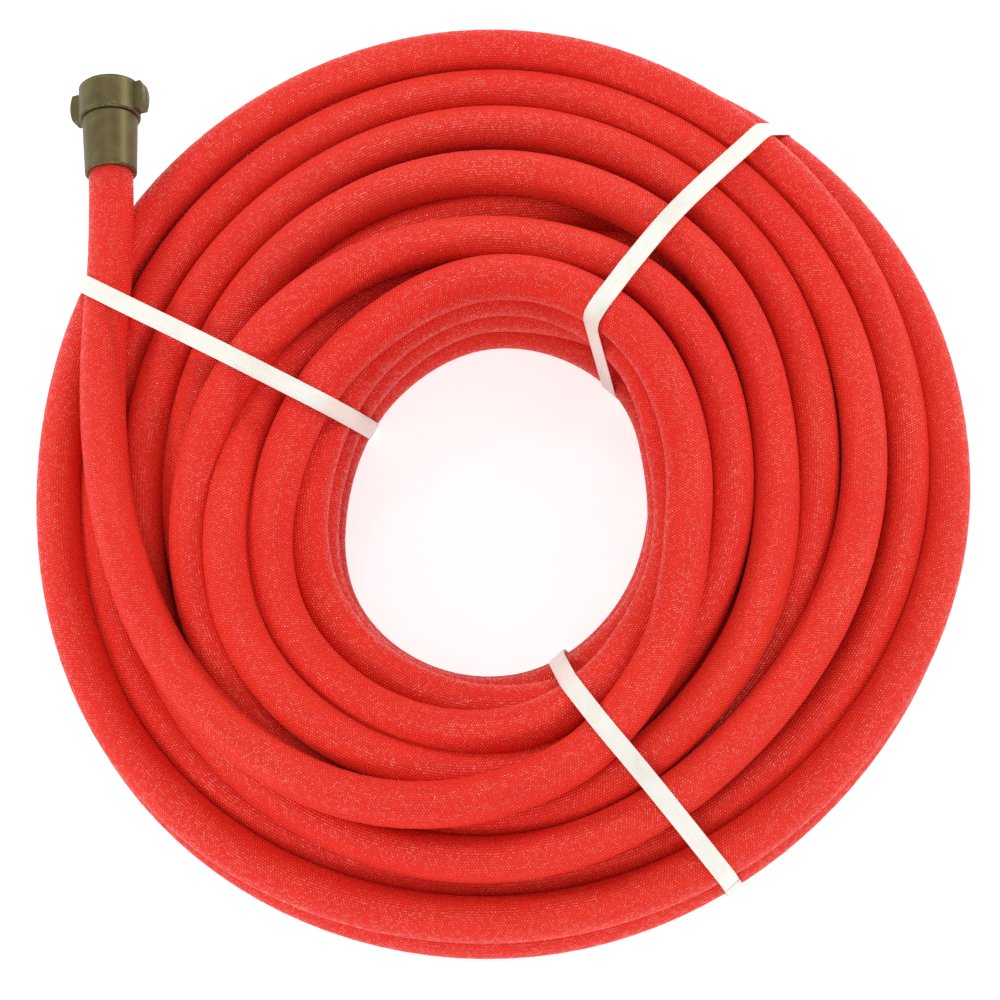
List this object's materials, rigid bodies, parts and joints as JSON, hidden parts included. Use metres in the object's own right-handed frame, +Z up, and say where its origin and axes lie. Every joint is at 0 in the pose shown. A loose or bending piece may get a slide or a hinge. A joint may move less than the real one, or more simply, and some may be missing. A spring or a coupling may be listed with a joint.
{
  "type": "rolled fire hose",
  "caption": "Red woven-jacket booster fire hose in a flat coil tied with flat straps, with a free-turning rocker-lug swivel coupling and a threaded male end.",
  "frame": {"origin": "on the floor under the middle of the coil's box", "axes": "+Z up, the coil lies flat; +Y towards the side where the swivel coupling points; +X to the right of that"},
  "size_m": [0.7445, 0.7583, 0.1391],
  "materials": {
    "jacket": "woven red polyester jacket",
    "liner": "smooth black rubber",
    "gasket": "moulded black rubber",
    "coupling": "olive hard-anodised, satin",
    "bearing_steel": "ground steel",
    "expansion_ring": "rolled brass",
    "strap": "ivory polypropylene strapping"
  },
  "bodies": {
    "hose": {"hose_coil": "jacket", "hose_free_end": "jacket", "female_shank": "coupling", "female_tail_gasket": "gasket", "female_expansion_ring": "expansion_ring", "female_hose_liner": "liner", "female_hose_jacket": "jacket", "male_shank": "coupling", "male_tail_gasket": "gasket", "male_expansion_ring": "expansion_ring", "male_hose_liner": "liner", "male_hose_jacket": "jacket", "strap_1": "strap", "strap_2": "strap", "strap_3": "strap"},
    "swivel": {"female_swivel": "coupling", "female_race_plug": "bearing_steel", "female_swivel_gasket": "gasket"},
    "ball_ring": {"female_bearing_balls": "bearing_steel"}
  },
  "joints": [
    {"name": "swivel_spin", "type": "hinge", "parent": "hose", "child": "swivel", "pos_m": [-0.32024, 0.30263, 0.07434], "axis": [-0.0568, 0.9934, -0.0993], "continuous": true},
    {"name": "ball_roll", "type": "hinge", "parent": "hose", "child": "ball_ring", "pos_m": [-0.32024, 0.30263, 0.07434], "axis": [-0.0568, 0.9934, -0.0993], "continuous": true}
  ],
  "couplings": [
    {"joint": "ball_roll", "follows": "swivel_spin", "ratio": 0.5}
  ]
}
